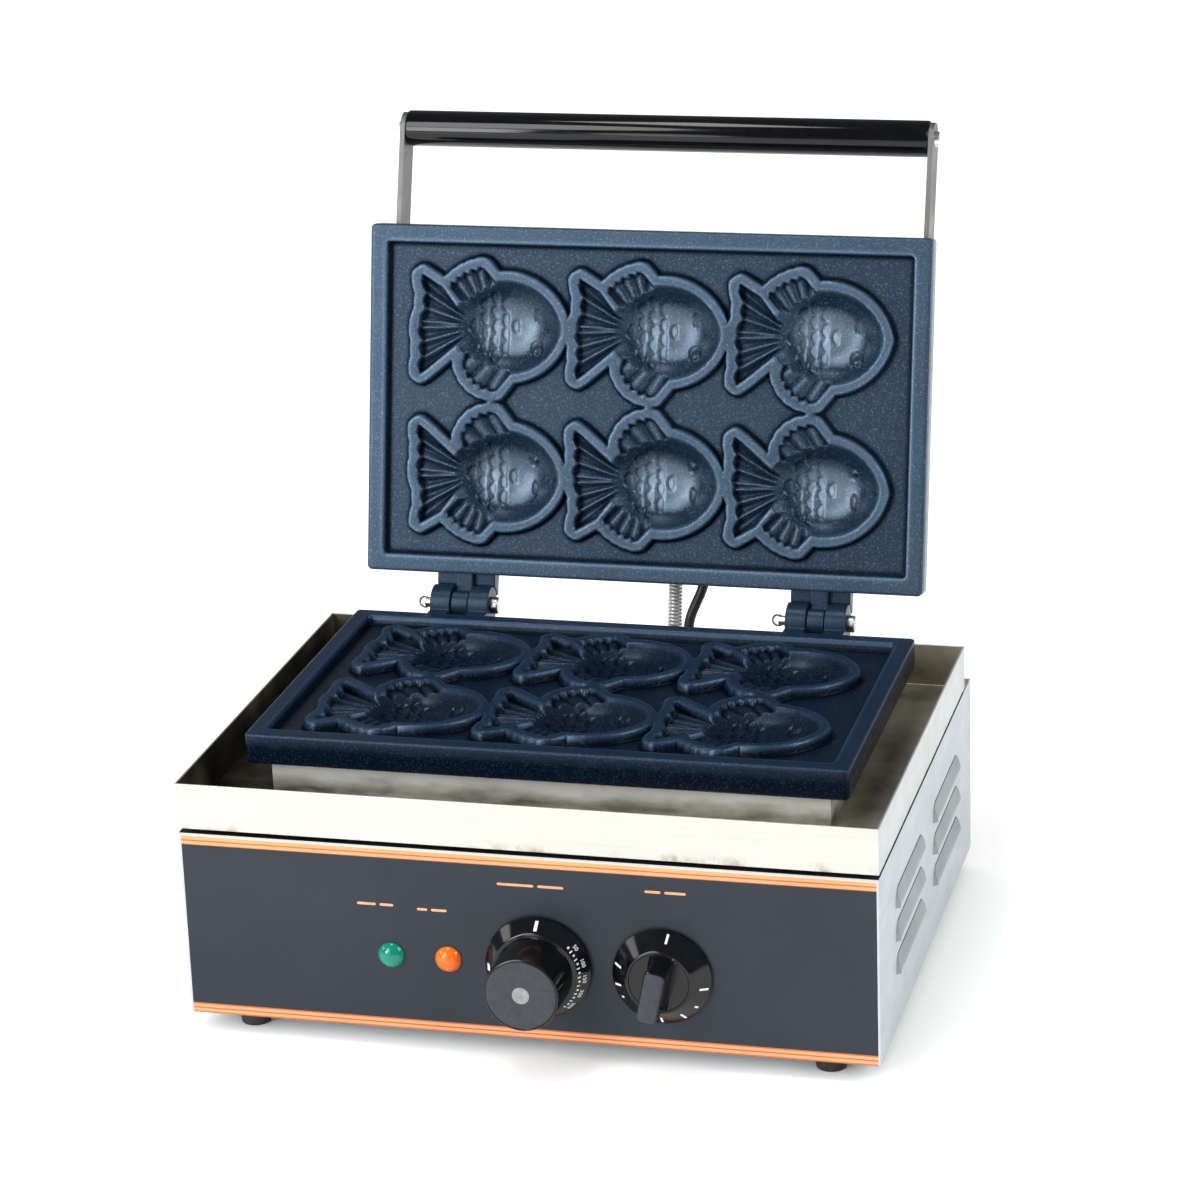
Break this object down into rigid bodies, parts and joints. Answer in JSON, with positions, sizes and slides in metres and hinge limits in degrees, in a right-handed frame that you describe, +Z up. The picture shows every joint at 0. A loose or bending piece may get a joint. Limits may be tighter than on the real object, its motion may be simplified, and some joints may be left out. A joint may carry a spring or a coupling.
{
  "type": "taiyaki maker",
  "caption": "Countertop electric fish-waffle iron: cast lower and upper fish moulds, hinged lid with a bar handle, drip tray, and a housing with two knobs and two pilot lamps.",
  "frame": {"origin": "on the table, in the plane of the feet, under the middle of the housing", "axes": "+Z up, +Y to the back, +X to the right as seen by the user who faces the controls"},
  "size_m": [0.4052, 0.4395, 0.4524],
  "materials": {
    "housing_steel": "light grey satin sheet steel",
    "panel": "dark slate grey with orange edge stripes",
    "rubber": "matte black",
    "zinc": "bright zinc-plated",
    "stainless": "brushed stainless, heat-tinted inside the tray",
    "insulation": "white mineral fibre",
    "element": "oxidised tubular element",
    "copper": "copper bulb",
    "mould": "dark blue-grey non-stick coating, fine speckle",
    "black_plastic": "matte black",
    "knob_plastic": "gloss black with white marks",
    "grip_plastic": "gloss black",
    "green_lens": "translucent green",
    "orange_lens": "translucent orange",
    "spring_steel": "bright wound wire",
    "arm_steel": "brushed flat bar"
  },
  "bodies": {
    "base": {"base_housing": "housing_steel", "bottom_plate": "housing_steel", "control_panel": "panel", "foot_front_left": "rubber", "foot_front_right": "rubber", "foot_back_left": "rubber", "foot_back_right": "rubber", "foot_screws": "zinc", "drip_tray": "stainless", "lower_heater_box": "stainless", "lower_insulation_pad": "insulation", "lower_heating_element": "element", "thermostat_bulb": "copper", "wiring_grommet": "rubber", "lower_mould_plate": "mould", "split_rings": "zinc", "hinge_pin_left": "zinc", "hinge_pin_right": "zinc", "thermostat_switch": "black_plastic", "timer_switch": "black_plastic", "green_lamp_lens": "green_lens", "orange_lamp_lens": "orange_lens", "green_lamp_body": "black_plastic", "orange_lamp_body": "black_plastic", "mains_inlet": "black_plastic", "terminal_block": "black_plastic", "housing_gland": "rubber", "conduit_core": "rubber", "flex_conduit": "spring_steel", "lid_lead": "rubber"},
    "temperature_control": {"temperature_knob": "knob_plastic", "temperature_shaft": "zinc"},
    "timer_control": {"timer_knob": "knob_plastic", "timer_shaft": "zinc"},
    "lid": {"upper_mould_plate": "mould", "lid_cover": "stainless", "upper_insulation_pad": "insulation", "upper_heating_element": "element", "lid_gland": "rubber", "handle_arm_left": "arm_steel", "handle_arm_right": "arm_steel", "handle_grip": "grip_plastic", "handle_rod": "zinc", "arm_screws": "zinc", "grip_screws": "zinc"}
  },
  "joints": [
    {"name": "lid_hinge", "type": "hinge", "parent": "base", "child": "lid", "pos_m": [0, 0.1255, 0.1657], "axis": [1, 0, 0], "range_deg": [0, 102.4], "deforming": ["flex_conduit", "conduit_core", "lid_lead"]},
    {"name": "temperature_turn", "type": "hinge", "parent": "base", "child": "temperature_control", "pos_m": [0.008, -0.156, 0.0572], "axis": [0, 1, 0], "range_deg": [0, 300]},
    {"name": "timer_turn", "type": "hinge", "parent": "base", "child": "timer_control", "pos_m": [0.0786, -0.156, 0.0572], "axis": [0, 1, 0], "range_deg": [0, 300]}
  ]
}
